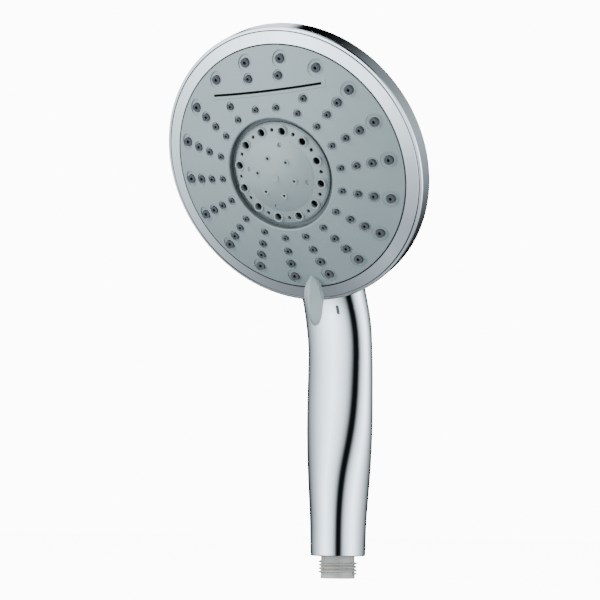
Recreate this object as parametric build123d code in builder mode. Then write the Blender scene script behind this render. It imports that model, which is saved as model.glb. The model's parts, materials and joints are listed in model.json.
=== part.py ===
from build123d import *
from math import cos, radians, sin, sqrt, tan
import os

# Hand shower with a turning spray face. Millimetres and degrees.
# Row frame: origin at the centre of the inlet's end face, +Z up along the handle, -Y to the spray side.
os.makedirs("parts", exist_ok=True)

# ---------------------------------------------------------------- driving dimensions
# Head: its centre lies on the spray axis, which points forward and down from the handle
TILT = 27.2
FACE_Y = -59.16
FACE_Z = 213.85
HEAD_RADIUS = 75.6
RIM_FRONT = -7.0
RIM_BACK = -14.6
BOWL_DEPTH = 33.0
WALL = 2.5

# Spray plate: a shallow dome, given by its sphere's radius and its rim
PLATE_RADIUS = 67.05
PLATE_RIM_HEIGHT = -3.2
DOME_RADIUS = 168.0
PLATE_THICKNESS = 4.4
SKIRT_WALL = 1.75
SKIRT_BACK = -12.0
RUNNING_GAP = 0.35
RECESS_RADIUS = 30.26
LEDGE_HEIGHT = 4.4

# Nozzles: ring radius, tip radius, pocket radius, nozzle bore, ring's missing spokes beside the slit
SPOKES = 18
FIRST_SPOKE = 10.0
NOZZLE_RINGS = [
    (60.24, 2.35, 4.35, 0.85, ()),
    (51.98, 2.00, 3.15, 0.75, (30.0, 330.0)),
    (44.06, 1.65, 2.70, 0.65, (10.0, 350.0)),
    (35.94, 1.40, 2.45, 0.55, ()),
]
NOZZLE_PROUD = 0.7
POCKET_DEPTH = 0.45
NOZZLE_CLEARANCE = 0.12

# Waterfall slit
SLIT_OFFSET = 44.3
SLIT_LENGTH = 65.0
SLIT_WIDTH = 1.1

# Stack behind the spray plate, by height along the spray axis
MAT_THICKNESS = 1.2
MAT_RADIUS = 64.9
CEILING_THICKNESS = 2.0
CHAMBER_RADIUS = 65.0
CHAMBER_BACK = -11.0
CHAMBER_WELL = 28.05
WELL_FLOOR = -4.6
CHANNEL_FLOOR = -8.2
GASKET_THICKNESS = 0.8
DISC_RADIUS = 64.0
DISC_BACK = -15.0
HUB_FRONT = -15.3
HUB_BACK = -27.3
HUB_RADIUS = 30.0

# Centre insert
INSERT_RADIUS = 27.9
INSERT_APEX = 13.9
INSERT_DISC_RADIUS = 20.0
INSERT_DISC_HEIGHT = 8.65
INSERT_WALL = 1.8
INSERT_TURN = 16.9
PARTITION_INNER = 18.9
PARTITION_OUTER = 20.4

# Selector
PORT_RING = 22.0
PORT_RADIUS = 2.1
DETENT_RING = 22.0
DETENT_ANGLE = 90.0
STEP_ANGLE = 15.0
POSITIONS = (-2, -1, 0, 1, 2)
NOTCH_DEPTH = 0.7
NOTCH_RADIUS = 2.0
BOSS_RADIUS = 6.0
BOSS_FIT = 0.05
BOSS_END = -11.4

# Handle: half-width, front half-depth and back half-depth at heights above its lower edge
THREAD_LENGTH = 12.0
HANDLE_SECTIONS = [
    (0.0, 14.75, 14.75, 14.75),
    (15.0, 15.2, 15.2, 15.3),
    (30.0, 16.1, 15.5, 16.2),
    (45.0, 17.4, 15.0, 16.5),
    (60.0, 18.6, 13.3, 15.3),
    (75.0, 19.2, 11.7, 14.1),
    (90.0, 19.25, 10.7, 13.5),
    (105.0, 19.1, 10.2, 13.1),
]
BEND_START = 117.0
BEND_RADIUS = 84.0
NECK_SECTION = (19.1, 10.0, 13.0)

# Inlet, a G 1/2 parallel pipe thread
THREAD_MAJOR = 10.4775
THREAD_MINOR = 9.3155
THREAD_PITCH = 1.814
THREAD_LEAD = 1.7
THREAD_ROOT = 9.1
THREAD_START = 2.5
THREAD_RISE = 6.5
RIDGE_FOOT = 0.8
RIDGE_POINT = 0.05
RIDGE_SINK = 0.3
RIDGE_OVER = 0.3
INLET_BORE = 7.0
INLET_BORE_DEPTH = 9.0
TUBE_RADIUS = 5.0
TUBE_BORE = 3.6
TUBE_BEND_RADIUS = 84.0
TUBE_LINE = -21.6
SPIGOT_RADIUS = 4.2
SPIGOT_BORE = 3.0
SPIGOT_START = -33.0
SPIGOT_END = -20.0

# ---------------------------------------------------------------- frame of the head
FACE_CENTRE = Vector(0, FACE_Y, FACE_Z)
FACE_NORMAL = Vector(0, -cos(radians(TILT)), -sin(radians(TILT)))
FACE_UP = Vector(0, -sin(radians(TILT)), cos(radians(TILT)))
face_plane = Plane(origin=FACE_CENTRE, x_dir=(1, 0, 0), z_dir=FACE_NORMAL)
section_plane = Plane(origin=FACE_CENTRE, x_dir=(1, 0, 0), z_dir=-FACE_UP)
side_plane = Plane(origin=FACE_CENTRE, x_dir=-FACE_UP, z_dir=(-1, 0, 0))
face_axis = Axis(FACE_CENTRE, FACE_NORMAL)
DOME_CENTRE = PLATE_RIM_HEIGHT - sqrt(DOME_RADIUS**2 - PLATE_RADIUS**2)
BOWL_RADIUS = (HEAD_RADIUS**2 + (BOWL_DEPTH + RIM_BACK) ** 2) / (2 * (BOWL_DEPTH + RIM_BACK))
BOWL_CENTRE = BOWL_RADIUS - BOWL_DEPTH
FAR = 60.0


def level(height):
    """The plane square to the spray axis at a height along it."""
    return face_plane.offset(height)


def dome(radius, inset=0.0):
    """Height of the spray dome, or of a sphere inset behind it, at a distance from the axis."""
    return DOME_CENTRE + sqrt((DOME_RADIUS - inset) ** 2 - radius**2)


def bowl(radius, inset=0.0):
    """Height of the housing's spherical back at a distance from the axis."""
    return BOWL_CENTRE - sqrt((BOWL_RADIUS - inset) ** 2 - radius**2)


def clock(radius, angle):
    """A point on the face, by its distance and its clockwise angle from the slit's direction."""
    return (radius * sin(radians(angle)), radius * cos(radians(angle)))


def dome_arc(inner, outer, inset=0.0):
    """The dome's arc in a half section, from an inner to an outer distance."""
    middle = (inner + outer) / 2
    ThreePointArc((inner, dome(inner, inset)), (middle, dome(middle, inset)), (outer, dome(outer, inset)))


def spoke_angles(skipped=()):
    """The clock angles of one ring's nozzles."""
    angles = [FIRST_SPOKE + 360.0 / SPOKES * k for k in range(SPOKES)]
    return [a for a in angles if a not in skipped]


def head_point(place, height):
    """A point of the row frame, from its place on the face and its height."""
    return FACE_CENTRE + Vector(place[0], 0, 0) + FACE_UP * place[1] + FACE_NORMAL * height


def save(part, name):
    """Label a finished piece and write it."""
    part.label = name
    export_step(part, f"parts/{name}.step")


# ---------------------------------------------------------------- face plate
MAT_FRONT_INSET = PLATE_THICKNESS + 0.05
MAT_BACK_INSET = MAT_FRONT_INSET + MAT_THICKNESS
CHAMBER_FRONT_INSET = MAT_BACK_INSET + 0.05
CEILING_INSET = CHAMBER_FRONT_INSET + CEILING_THICKNESS
SKIRT_INNER = PLATE_RADIUS - SKIRT_WALL
COLLAR_RADIUS = 31.5
COLLAR_BACK = 1.0
SNAP_HEIGHT = -9.0
TAB_OFFSET = 62.5
TAB_WIDTH = 4.8
TAB_LENGTH = 2.2
TAB_DEPTH = 2.9
MAT_INNER = 31.7
PLATE_RIM_ROUNDING = 0.5
RECESS_ROUNDING = 0.8



def circles_between(part, radius, low, high):
    """The circular edges of one radius whose heights lie between two limits."""

    def chosen(edge):
        height = face_plane.to_local_coords(edge.center()).Z
        return abs(edge.radius - radius) < 0.01 and low < height < high

    return part.edges().filter_by(GeomType.CIRCLE).filter_by(chosen)


def pocket_cutters():
    """Cutters for the shallow pockets round the nozzles, whose floors follow the dome."""
    with BuildPart() as cutters:
        for ring, _, pocket, _, skipped in NOZZLE_RINGS:
            with BuildSketch(level(-FAR / 4)):
                with Locations(*[clock(ring, a) for a in spoke_angles(skipped)]):
                    Circle(pocket)
            extrude(amount=FAR / 2)
        with BuildSketch(section_plane):
            with BuildLine():
                dome_arc(0, PLATE_RADIUS, POCKET_DEPTH)
                Polyline(
                    (PLATE_RADIUS, dome(PLATE_RADIUS, POCKET_DEPTH)),
                    (PLATE_RADIUS, -FAR / 2),
                    (0, -FAR / 2),
                    (0, dome(0, POCKET_DEPTH)),
                )
            make_face()
        revolve(axis=face_axis, mode=Mode.SUBTRACT)
    return cutters.part


with BuildPart() as face_plate:
    with BuildSketch(section_plane):
        with BuildLine():
            dome_arc(RECESS_RADIUS, PLATE_RADIUS)
            Polyline(
                (PLATE_RADIUS, dome(PLATE_RADIUS)),
                (PLATE_RADIUS, SKIRT_BACK),
                (SKIRT_INNER, SKIRT_BACK),
                (SKIRT_INNER, SNAP_HEIGHT - 0.4),
                (SKIRT_INNER - 0.7, SNAP_HEIGHT),
                (SKIRT_INNER, SNAP_HEIGHT + 0.4),
                (SKIRT_INNER, dome(SKIRT_INNER, PLATE_THICKNESS)),
            )
            dome_arc(COLLAR_RADIUS, SKIRT_INNER, PLATE_THICKNESS)
            Polyline(
                (COLLAR_RADIUS, dome(COLLAR_RADIUS, PLATE_THICKNESS)),
                (COLLAR_RADIUS, COLLAR_BACK),
                (CHAMBER_WELL, COLLAR_BACK),
                (CHAMBER_WELL, LEDGE_HEIGHT),
                (RECESS_RADIUS, LEDGE_HEIGHT),
                (RECESS_RADIUS, dome(RECESS_RADIUS)),
            )
        make_face()
    revolve(axis=face_axis)
    rim_edges = circles_between(face_plate, PLATE_RADIUS, PLATE_RIM_HEIGHT - 0.1, PLATE_RIM_HEIGHT + 0.1)
    fillet(rim_edges, PLATE_RIM_ROUNDING)
    fillet(circles_between(face_plate, RECESS_RADIUS, LEDGE_HEIGHT + 1, FAR), RECESS_ROUNDING)
    add(pocket_cutters(), mode=Mode.SUBTRACT)
    for ring, tip, _, _, skipped in NOZZLE_RINGS:
        with BuildSketch(level(-FAR / 2)):
            with Locations(*[clock(ring, a) for a in spoke_angles(skipped)]):
                Circle(tip + NOZZLE_CLEARANCE)
        extrude(amount=FAR, mode=Mode.SUBTRACT)
    with BuildSketch(level(-FAR / 2)):
        with Locations((0, SLIT_OFFSET)):
            Rectangle(SLIT_LENGTH, SLIT_WIDTH)
    extrude(amount=FAR, mode=Mode.SUBTRACT)
    with BuildSketch(level(dome(TAB_OFFSET) - TAB_DEPTH - 0.1)):
        with Locations((0, -TAB_OFFSET)):
            Rectangle(TAB_WIDTH + 0.2, TAB_LENGTH + 0.2)
    extrude(amount=FAR, mode=Mode.SUBTRACT)
save(face_plate.part, "face_plate")


# ---------------------------------------------------------------- selector lever
LEVER_ROOT = 59.4
LEVER_TIP = 84.9
LEVER_CLEARANCE = 0.9
LEVER_TIP_UNDERSIDE = 5.4
LEVER_REACH = 20.0
RIDGE_LAND = 0.45
# distance downwards: ridge height, half-width, height of the side edges, half-width and height underneath
LEVER_SECTIONS = [
    (59.4, 0.5, 0.7, 0.1, 0.6, -4.0),
    (62.5, 3.8, 3.0, 1.4, 2.2, -4.0),
    (66.75, 7.1, 4.6, 3.3, 2.6, -4.0),
    (73.0, 9.7, 5.2, 4.2, 2.3, -4.0),
    (77.0, 10.4, 4.9, 4.8, 2.2, -1.0),
    (80.2, 10.4, 4.2, 5.9, 1.9, 1.5),
    (83.2, 9.7, 2.9, 7.0, 1.4, 4.4),
    (84.9, 8.7, 1.5, 7.4, 0.8, 6.4),
]


def lever_section(down, ridge, width, edge, foot_width, foot):
    """A keel-shaped section across the lever: two facets rise to a ridge, and the flanks tuck in."""
    plane = Plane(origin=head_point((0, -down), 0), x_dir=(1, 0, 0), z_dir=-FACE_UP)
    half = min(RIDGE_LAND, 0.6 * width)
    corners = [(half, ridge), (width, edge), (foot_width, foot)]
    mirrored = [(-x, height) for x, height in reversed(corners)]
    with BuildSketch(plane) as section:
        with BuildLine():
            Polyline(*corners, *mirrored, close=True)
        make_face()
    return section.sketch.faces()[0]


with BuildPart() as selector_lever:
    loft([lever_section(*sizes) for sizes in LEVER_SECTIONS])
    with BuildSketch(side_plane):
        with BuildLine():
            dome_arc(LEVER_ROOT - 0.5, PLATE_RADIUS - 1.5)
            Polyline(
                (PLATE_RADIUS - 1.5, dome(PLATE_RADIUS - 1.5)),
                (PLATE_RADIUS, PLATE_RIM_HEIGHT + LEVER_CLEARANCE),
                (HEAD_RADIUS + 0.5, PLATE_RIM_HEIGHT + LEVER_CLEARANCE),
                (LEVER_TIP, LEVER_TIP_UNDERSIDE),
                (LEVER_TIP + 1.0, LEVER_REACH),
                (LEVER_ROOT - 0.5, LEVER_REACH),
                (LEVER_ROOT - 0.5, dome(LEVER_ROOT - 0.5)),
            )
        make_face()
    extrude(amount=LEVER_REACH, both=True, mode=Mode.INTERSECT)
    with BuildSketch(level(dome(TAB_OFFSET) - TAB_DEPTH)):
        with Locations((0, -TAB_OFFSET)):
            Rectangle(TAB_WIDTH, TAB_LENGTH)
    extrude(amount=TAB_DEPTH + 1.0)
save(selector_lever.part, "selector_lever")


# ---------------------------------------------------------------- nozzle mat
with BuildPart() as nozzle_mat:
    with BuildSketch(section_plane):
        with BuildLine():
            dome_arc(MAT_INNER, MAT_RADIUS, MAT_FRONT_INSET)
            Line(*[(MAT_RADIUS, dome(MAT_RADIUS, inset)) for inset in (MAT_FRONT_INSET, MAT_BACK_INSET)])
            dome_arc(MAT_INNER, MAT_RADIUS, MAT_BACK_INSET)
            Line(*[(MAT_INNER, dome(MAT_INNER, inset)) for inset in (MAT_BACK_INSET, MAT_FRONT_INSET)])
        make_face()
    revolve(axis=face_axis)
    for ring, tip, pocket, bore, skipped in NOZZLE_RINGS:
        foot = dome(ring + tip, MAT_BACK_INSET)
        with BuildSketch(level(foot)):
            with Locations(*[clock(ring, a) for a in spoke_angles(skipped)]):
                Circle(tip)
        extrude(amount=dome(ring) + NOZZLE_PROUD - foot)
    with BuildSketch(section_plane):
        with BuildLine():
            dome_arc(0, MAT_RADIUS, MAT_BACK_INSET)
            Polyline(
                (MAT_RADIUS, dome(MAT_RADIUS, MAT_BACK_INSET)),
                (MAT_RADIUS, CHAMBER_BACK),
                (0, CHAMBER_BACK),
                (0, dome(0, MAT_BACK_INSET)),
            )
        make_face()
    revolve(axis=face_axis, mode=Mode.SUBTRACT)
    for ring, tip, pocket, bore, skipped in NOZZLE_RINGS:
        with BuildSketch(level(CHAMBER_BACK)):
            with Locations(*[clock(ring, a) for a in spoke_angles(skipped)]):
                Circle(bore)
        extrude(amount=FAR, mode=Mode.SUBTRACT)
    with BuildSketch(level(CHAMBER_BACK)):
        with Locations((0, SLIT_OFFSET)):
            Rectangle(SLIT_LENGTH, SLIT_WIDTH)
    extrude(amount=FAR, mode=Mode.SUBTRACT)
save(nozzle_mat.part, "nozzle_mat")


# ---------------------------------------------------------------- chamber plate
RAIN_INNER = 33.5
RAIN_OUTER = 63.0
SLIT_FRAME = (75.0, 8.0)
SLIT_FRAME_WALL = 1.6
SCREW_RING = 48.0
SCREW_ANGLES = (40.0, 100.0, 160.0, 200.0, 260.0, 320.0)
SCREW_BOSS = 3.2
SCREW_PILOT = 1.5
MASSAGE_CHANNEL = (12.0, 17.5)
AIR_CHANNEL = (19.5, 25.5)
WASHER_POCKET = (10.6, -7.8)
MASSAGE_OUTLET = clock(14.8, -2 * STEP_ANGLE)
AIR_OUTLETS = (clock(22.5, -STEP_ANGLE), clock(22.5, 2 * STEP_ANGLE))
RAIN_OUTLETS = (clock(36.2, 0), clock(36.2, 2 * STEP_ANGLE))
SLIT_OUTLET = clock(45.9, STEP_ANGLE)
OUTLET_RADIUS = 1.8

with BuildPart() as chamber_plate:
    with BuildSketch(level(CHAMBER_BACK)):
        Circle(CHAMBER_RADIUS)
        Circle(RAIN_OUTER, mode=Mode.SUBTRACT)
        Circle(RAIN_INNER)
        with Locations((0, SLIT_OFFSET)):
            Rectangle(*SLIT_FRAME)
            Rectangle(*[side - 2 * SLIT_FRAME_WALL for side in SLIT_FRAME], mode=Mode.SUBTRACT)
        with Locations(*[clock(SCREW_RING, a) for a in SCREW_ANGLES]):
            Circle(SCREW_BOSS)
    extrude(amount=FAR / 2)
    with BuildSketch(section_plane):
        with BuildLine():
            dome_arc(RAIN_INNER - 1.0, CHAMBER_RADIUS, CHAMBER_FRONT_INSET)
            Line(
                (CHAMBER_RADIUS, dome(CHAMBER_RADIUS, CHAMBER_FRONT_INSET)),
                (CHAMBER_RADIUS, dome(CHAMBER_RADIUS, CEILING_INSET)),
            )
            dome_arc(RAIN_INNER - 1.0, CHAMBER_RADIUS, CEILING_INSET)
            Line(
                (RAIN_INNER - 1.0, dome(RAIN_INNER - 1.0, CEILING_INSET)),
                (RAIN_INNER - 1.0, dome(RAIN_INNER - 1.0, CHAMBER_FRONT_INSET)),
            )
        make_face()
    revolve(axis=face_axis)
    with BuildSketch(section_plane):
        with BuildLine():
            dome_arc(MAT_INNER, CHAMBER_RADIUS + 1.0, CHAMBER_FRONT_INSET)
            Polyline(
                (CHAMBER_RADIUS + 1.0, dome(CHAMBER_RADIUS + 1.0, CHAMBER_FRONT_INSET)),
                (CHAMBER_RADIUS + 1.0, FAR / 2),
                (0, FAR / 2),
                (0, WELL_FLOOR),
                (CHAMBER_WELL, WELL_FLOOR),
                (CHAMBER_WELL, COLLAR_BACK - 0.1),
                (MAT_INNER, COLLAR_BACK - 0.1),
                (MAT_INNER, dome(MAT_INNER, CHAMBER_FRONT_INSET)),
            )
        make_face()
    revolve(axis=face_axis, mode=Mode.SUBTRACT)
    with BuildSketch(section_plane):
        with Locations((CHAMBER_RADIUS, SNAP_HEIGHT)):
            Rectangle(1.4, 1.0)
    revolve(axis=face_axis, mode=Mode.SUBTRACT)
    for inner, outer in (MASSAGE_CHANNEL, AIR_CHANNEL):
        with BuildSketch(level(CHANNEL_FLOOR)):
            Circle(outer)
            Circle(inner, mode=Mode.SUBTRACT)
        extrude(amount=WELL_FLOOR - CHANNEL_FLOOR, mode=Mode.SUBTRACT)
    with BuildSketch(level(CHAMBER_BACK)):
        Circle(WASHER_POCKET[0])
    extrude(amount=WASHER_POCKET[1] - CHAMBER_BACK, mode=Mode.SUBTRACT)
    with BuildSketch(level(CHAMBER_BACK)):
        with Locations(MASSAGE_OUTLET, *AIR_OUTLETS):
            Circle(OUTLET_RADIUS)
    extrude(amount=WELL_FLOOR - CHAMBER_BACK, mode=Mode.SUBTRACT)
    with BuildSketch(level(CHAMBER_BACK)):
        with Locations(*[clock(SCREW_RING, a) for a in SCREW_ANGLES]):
            Circle(SCREW_PILOT)
    extrude(amount=7.0, mode=Mode.SUBTRACT)
    for ring, tip, pocket, bore, skipped in NOZZLE_RINGS:
        with BuildSketch(level(dome(ring, CEILING_INSET) - 1.5)):
            with Locations(*[clock(ring, a) for a in spoke_angles(skipped)]):
                Circle(bore + 0.3)
        extrude(amount=FAR, mode=Mode.SUBTRACT)
    with BuildSketch(level(CHAMBER_BACK)):
        with Locations((0, SLIT_OFFSET)):
            Rectangle(SLIT_LENGTH, SLIT_WIDTH)
    extrude(amount=FAR, mode=Mode.SUBTRACT)
save(chamber_plate.part, "chamber_plate")


# ---------------------------------------------------------------- chamber gasket
DISC_FRONT = CHAMBER_BACK - GASKET_THICKNESS
COLLAR_RING = 9.0

with BuildPart() as chamber_gasket:
    with BuildSketch(level(DISC_FRONT)):
        Circle(DISC_RADIUS)
        Circle(WASHER_POCKET[0], mode=Mode.SUBTRACT)
        with Locations(MASSAGE_OUTLET, *AIR_OUTLETS, *RAIN_OUTLETS, SLIT_OUTLET):
            Circle(OUTLET_RADIUS, mode=Mode.SUBTRACT)
        with Locations(*[clock(SCREW_RING, a) for a in SCREW_ANGLES]):
            Circle(SCREW_PILOT + 0.2, mode=Mode.SUBTRACT)
    extrude(amount=GASKET_THICKNESS)
save(chamber_gasket.part, "chamber_gasket")


# ---------------------------------------------------------------- distribution disc
GROOVE_WIDTH = 3.6
GROOVE_DEPTH = 1.8
GROOVE_ENDS = ((-2, 14.8), (-1, 22.5), (0, 36.2), (1, 45.9), (2, 36.2))
NOTCH_CENTRE = DISC_BACK + NOTCH_DEPTH - NOTCH_RADIUS

with BuildPart() as distribution_disc:
    with BuildSketch(level(DISC_BACK)):
        Circle(DISC_RADIUS)
    extrude(amount=DISC_FRONT - DISC_BACK)
    with BuildSketch(level(DISC_FRONT)):
        Circle(COLLAR_RING)
    extrude(amount=0.3)
    with BuildSketch(level(DISC_BACK)):
        Circle(BOSS_RADIUS + BOSS_FIT)
    extrude(amount=10.0, mode=Mode.SUBTRACT)
    with BuildSketch(level(DISC_BACK)):
        with Locations(*[clock(PORT_RING, k * STEP_ANGLE) for k in POSITIONS]):
            Circle(PORT_RADIUS)
    extrude(amount=DISC_FRONT - DISC_BACK, mode=Mode.SUBTRACT)
    with BuildSketch(level(DISC_FRONT - GROOVE_DEPTH)):
        for k, end in GROOVE_ENDS:
            with Locations(clock((PORT_RING + end) / 2, k * STEP_ANGLE)):
                SlotCenterToCenter(abs(end - PORT_RING), GROOVE_WIDTH, rotation=90.0 - k * STEP_ANGLE)
    extrude(amount=GROOVE_DEPTH, mode=Mode.SUBTRACT)
    with BuildSketch(level(DISC_BACK)):
        with Locations(*[clock(SCREW_RING, a) for a in SCREW_ANGLES]):
            Circle(SCREW_PILOT + 0.2)
    extrude(amount=10.0, mode=Mode.SUBTRACT)
    notches = [clock(DETENT_RING, DETENT_ANGLE + k * STEP_ANGLE) for k in POSITIONS]
    with Locations(*[head_point(place, NOTCH_CENTRE) for place in notches]):
        Sphere(NOTCH_RADIUS, mode=Mode.SUBTRACT)
save(distribution_disc.part, "distribution_disc")


# ---------------------------------------------------------------- chamber screws
HEAD_RADIUS_M3 = 2.7
HEAD_HEIGHT = 1.4
SHANK_RADIUS = 1.45
RECESS_SIZE = (2.6, 0.6)
RECESS_DEPTH = 0.8

with BuildPart() as chamber_screws:
    spots = [clock(SCREW_RING, a) for a in SCREW_ANGLES]
    with BuildSketch(level(DISC_BACK - HEAD_HEIGHT)):
        with Locations(*spots):
            Circle(HEAD_RADIUS_M3)
    extrude(amount=HEAD_HEIGHT)
    with BuildSketch(level(DISC_BACK)):
        with Locations(*spots):
            Circle(SHANK_RADIUS)
    extrude(amount=10.0)
    with BuildSketch(level(DISC_BACK - HEAD_HEIGHT)):
        with Locations(*spots):
            Rectangle(*RECESS_SIZE)
            Rectangle(RECESS_SIZE[1], RECESS_SIZE[0])
    extrude(amount=RECESS_DEPTH, mode=Mode.SUBTRACT)
save(chamber_screws.part, "chamber_screws")


# ---------------------------------------------------------------- centre insert
INSERT_BACK = -3.0
LARGE_RING = 23.97
LARGE_HOLE = 2.1
LARGE_LIP = (2.75, 8.25)
SMALL_RING = 24.07
SMALL_HOLE = 1.0
FINE_RING = 10.7
FINE_HOLE = 0.85
FINE_LIP = (1.6, 12.9)
DIMPLE_RING = 17.16
DIMPLE_RADIUS = 1.3
DIMPLE_DEPTH = 0.9
CENTRE_BUMP = (2.1, 14.3)
DISC_ARC_RADIUS = (INSERT_DISC_RADIUS**2 + (INSERT_APEX - INSERT_DISC_HEIGHT) ** 2) / (
    2 * (INSERT_APEX - INSERT_DISC_HEIGHT)
)
PIN_RADIUS = 1.0
PIN_BOSS = (2.6, 5.4)


def insert_dome(radius, inset=0.0):
    """Height of the insert's domed disc, or of its inner side, at a distance from the axis."""
    return INSERT_APEX - DISC_ARC_RADIUS + sqrt((DISC_ARC_RADIUS - inset) ** 2 - radius**2)


with BuildPart() as centre_insert:
    with BuildSketch(section_plane):
        with BuildLine():
            half = INSERT_DISC_RADIUS / 2
            inner_half = PARTITION_INNER / 2
            ThreePointArc(
                (0, INSERT_APEX), (half, insert_dome(half)), (INSERT_DISC_RADIUS, INSERT_DISC_HEIGHT)
            )
            Polyline(
                (INSERT_DISC_RADIUS, INSERT_DISC_HEIGHT),
                (INSERT_DISC_RADIUS, INSERT_DISC_HEIGHT - 0.25),
                (LARGE_RING, 7.4),
                (INSERT_RADIUS - 1.0, 6.3),
                (INSERT_RADIUS, 5.4),
                (INSERT_RADIUS, INSERT_BACK),
                (INSERT_RADIUS - 1.6, INSERT_BACK),
                (INSERT_RADIUS - 1.6, 4.6),
                (PARTITION_OUTER, 6.2),
                (PARTITION_OUTER, INSERT_BACK),
                (PARTITION_INNER, INSERT_BACK),
                (PARTITION_INNER, insert_dome(PARTITION_INNER, INSERT_WALL)),
            )
            ThreePointArc(
                (PARTITION_INNER, insert_dome(PARTITION_INNER, INSERT_WALL)),
                (inner_half, insert_dome(inner_half, INSERT_WALL)),
                (0, insert_dome(0, INSERT_WALL)),
            )
            Line((0, insert_dome(0, INSERT_WALL)), (0, INSERT_APEX))
        make_face()
    revolve(axis=face_axis)
    with BuildSketch(level(PIN_BOSS[1])):
        Circle(PIN_BOSS[0])
    extrude(amount=INSERT_APEX - 1.0 - PIN_BOSS[1])
    with BuildSketch(level(INSERT_APEX - 1.5)):
        Circle(CENTRE_BUMP[0])
    extrude(amount=CENTRE_BUMP[1] - INSERT_APEX + 1.5)
    with BuildSketch(level(6.6)):
        with Locations(*[clock(LARGE_RING, INSERT_TURN + 30 * k) for k in range(12)]):
            Circle(LARGE_LIP[0])
    extrude(amount=LARGE_LIP[1] - 6.6)
    with BuildSketch(level(11.6)):
        with Locations(*[clock(FINE_RING, INSERT_TURN + 30 + 60 * k) for k in range(6)]):
            Circle(FINE_LIP[0])
    extrude(amount=FINE_LIP[1] - 11.6)
    with BuildSketch(level(INSERT_BACK)):
        Circle(PIN_RADIUS)
    extrude(amount=11.7, mode=Mode.SUBTRACT)
    with BuildSketch(level(3.0)):
        with Locations(*[clock(LARGE_RING, INSERT_TURN + 30 * k) for k in range(12)]):
            Circle(LARGE_HOLE)
        with Locations(*[clock(SMALL_RING, INSERT_TURN - 15 + 30 * k) for k in range(12)]):
            Circle(SMALL_HOLE)
        with Locations(*[clock(FINE_RING, INSERT_TURN + 30 + 60 * k) for k in range(6)]):
            Circle(FINE_HOLE)
    extrude(amount=FAR, mode=Mode.SUBTRACT)
    with BuildSketch(level(insert_dome(DIMPLE_RING) - DIMPLE_DEPTH)):
        with Locations(*[clock(DIMPLE_RING, INSERT_TURN + 90 * k) for k in range(4)]):
            Circle(DIMPLE_RADIUS)
    extrude(amount=FAR, mode=Mode.SUBTRACT)
save(centre_insert.part, "centre_insert")


# ---------------------------------------------------------------- aerator mesh
MESH_BACK = 3.6
MESH_THICKNESS = 0.5
MESH_HOLE = 0.45
MESH_COUNT = 60

with BuildPart() as aerator_mesh:
    with BuildSketch(level(MESH_BACK)):
        Circle(INSERT_RADIUS - 1.65)
        Circle(PARTITION_OUTER + 0.05, mode=Mode.SUBTRACT)
        for ring in (LARGE_RING - 1.5, LARGE_RING, LARGE_RING + 1.5):
            with PolarLocations(ring, MESH_COUNT):
                Circle(MESH_HOLE, mode=Mode.SUBTRACT)
    extrude(amount=MESH_THICKNESS)
save(aerator_mesh.part, "aerator_mesh")


# ---------------------------------------------------------------- jet plate, turbine and pin
JET_RING = 14.7
JET_RADIUS = 0.8
JET_SLANT = 35.0
JET_PLATE_THICKNESS = INSERT_BACK - WELL_FLOOR
TURBINE_RADIUS = 16.0
TURBINE_BACK = -2.6
TURBINE_FRONT = 3.2
TURBINE_WEB = 1.2
TURBINE_VANES = 8
PIN_BACK = -4.0
PIN_FRONT = 8.5

with BuildPart() as jet_plate:
    with BuildSketch(level(WELL_FLOOR)):
        Circle(INSERT_RADIUS)
        with Locations(*[clock(LARGE_RING, INSERT_TURN + 30 * k) for k in range(12)]):
            Circle(0.9, mode=Mode.SUBTRACT)
    extrude(amount=JET_PLATE_THICKNESS)
    with BuildSketch(level(PIN_BACK)):
        Circle(PIN_RADIUS)
    extrude(amount=FAR, mode=Mode.SUBTRACT)
    for turn in range(4):
        around = 45.0 + 90.0 * turn
        place = clock(JET_RING, around)
        tangent = Vector(cos(radians(around)), 0, 0) - FACE_UP * sin(radians(around))
        slant = FACE_NORMAL * cos(radians(JET_SLANT)) + tangent * sin(radians(JET_SLANT))
        middle = head_point(place, WELL_FLOOR + JET_PLATE_THICKNESS / 2)
        with BuildSketch(Plane(origin=middle, z_dir=slant)):
            Circle(JET_RADIUS)
        extrude(amount=3.0, both=True, mode=Mode.SUBTRACT)
save(jet_plate.part, "jet_plate")

with BuildPart() as massage_turbine:
    with BuildSketch(level(TURBINE_BACK)):
        Circle(2.4)
        for k in range(TURBINE_VANES):
            with Locations(Location((0, 0, 0), 360.0 / TURBINE_VANES * k)):
                with Locations((TURBINE_RADIUS / 2, 0)):
                    Rectangle(TURBINE_RADIUS - 0.6, 1.0)
    extrude(amount=TURBINE_FRONT - TURBINE_BACK)
    with BuildSketch(level(TURBINE_FRONT - TURBINE_WEB)):
        Circle(TURBINE_RADIUS)
        with BuildLine():
            CenterArc((0, 0), 13.0, 20.0, 140.0)
            CenterArc((0, 0), 8.0, 20.0, 140.0)
            for angle in (20.0, 160.0):
                spoke = Vector(cos(radians(angle)), sin(radians(angle)))
                Line(spoke * 8.0, spoke * 13.0)
        make_face(mode=Mode.SUBTRACT)
    extrude(amount=TURBINE_WEB)
    with BuildSketch(level(TURBINE_FRONT)):
        Circle(2.4)
    extrude(amount=1.8)
    with BuildSketch(level(TURBINE_BACK)):
        Circle(PIN_RADIUS + 0.05)
    extrude(amount=FAR, mode=Mode.SUBTRACT)
save(massage_turbine.part, "massage_turbine")

with BuildPart() as turbine_pin:
    with BuildSketch(level(PIN_BACK)):
        Circle(PIN_RADIUS - 0.01)
    extrude(amount=PIN_FRONT - PIN_BACK)
    chamfer(turbine_pin.edges(), 0.2)
save(turbine_pin.part, "turbine_pin")


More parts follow.
